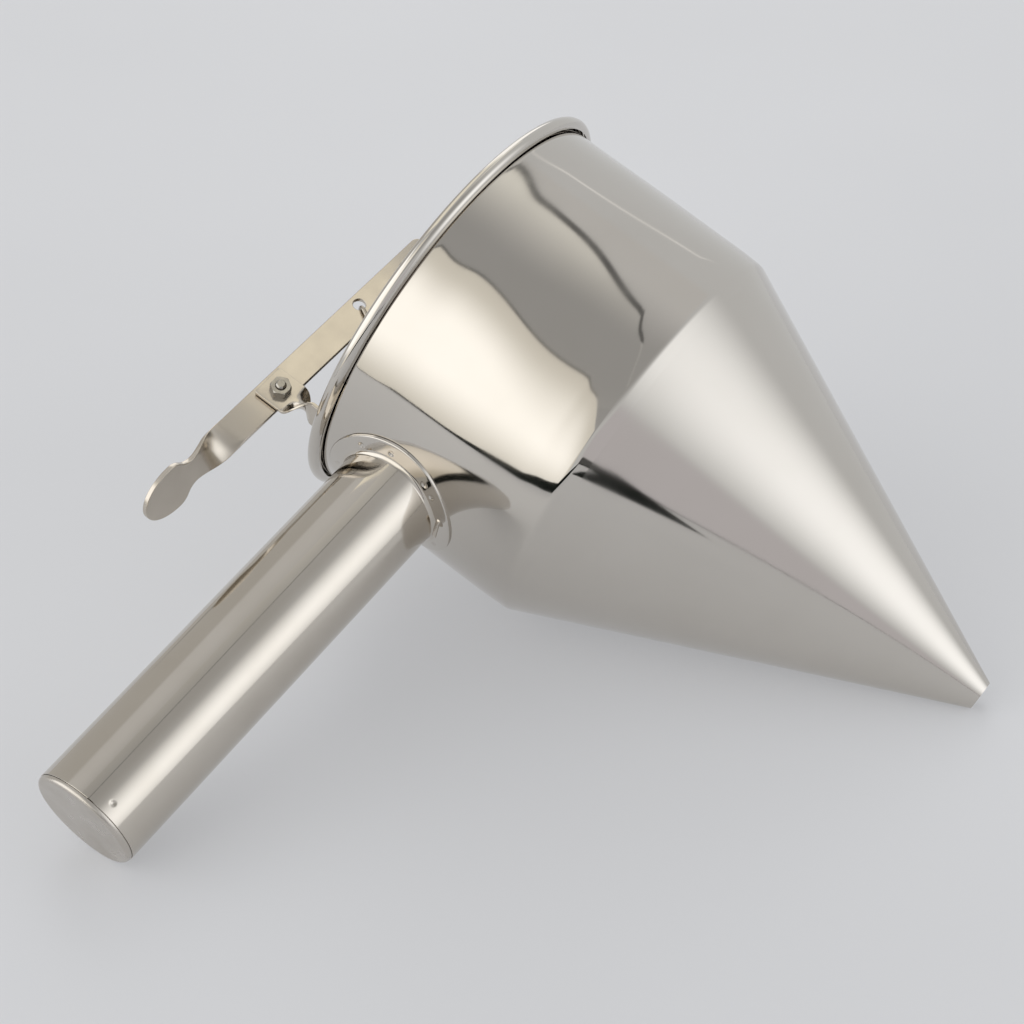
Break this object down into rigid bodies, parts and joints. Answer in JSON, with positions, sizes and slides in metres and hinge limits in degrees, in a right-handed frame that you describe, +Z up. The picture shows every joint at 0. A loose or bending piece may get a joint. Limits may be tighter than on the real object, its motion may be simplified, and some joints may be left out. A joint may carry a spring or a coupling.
{
  "type": "pancake batter dispenser",
  "caption": "Hand-held steel funnel with a tube handle and a thumb lever that lifts a plug rod from its outlet, shown lying on its side.",
  "frame": {"origin": "on the floor under the middle of the bounding box, the tool lying on its cone's side and its handle's end as in the picture", "axes": "+Z up; the outlet points towards +X and the handle towards -Y"},
  "size_m": [0.212, 0.2498, 0.145],
  "materials": {
    "polished_sheet": "mirror-polished stainless sheet",
    "polished_tube": "mirror-polished stainless tube",
    "brushed_cap": "satin stainless disc",
    "polished_strip": "polished stainless strip",
    "bright_fastener": "bright stainless fastener",
    "drawn_wire": "drawn stainless rod",
    "turned_plug": "turned stainless",
    "spring_wire": "spring wire"
  },
  "bodies": {
    "funnel": {"bowl": "polished_sheet", "cone": "polished_sheet", "handle_flange": "polished_sheet", "handle_tube": "polished_tube", "handle_cap": "brushed_cap", "lever_bracket": "polished_strip", "pivot_bolt": "bright_fastener", "pivot_washer": "bright_fastener", "pivot_nut": "bright_fastener", "return_spring": "spring_wire"},
    "lever": {"lever": "polished_strip"},
    "plug": {"plug_rod": "drawn_wire", "valve_plug": "turned_plug"}
  },
  "joints": [
    {"name": "lever_pivot", "type": "hinge", "parent": "funnel", "child": "lever", "pos_m": [-0.09428, 0.00467, 0.07487], "axis": [0.3979, -0.3436, 0.8507], "range_deg": [0, 18], "stiffness_Nm_per_rad": 0.98, "springref_deg": -9.74, "deforming": ["return_spring"]},
    {"name": "rod_hook", "type": "hinge", "parent": "lever", "child": "plug", "pos_m": [-0.08591, 0.05914, 0.09296], "axis": [0.3979, -0.3436, 0.8507], "range_deg": [-18, 0]}
  ],
  "couplings": [
    {"joint": "rod_hook", "follows": "lever_pivot", "ratio": -1}
  ]
}
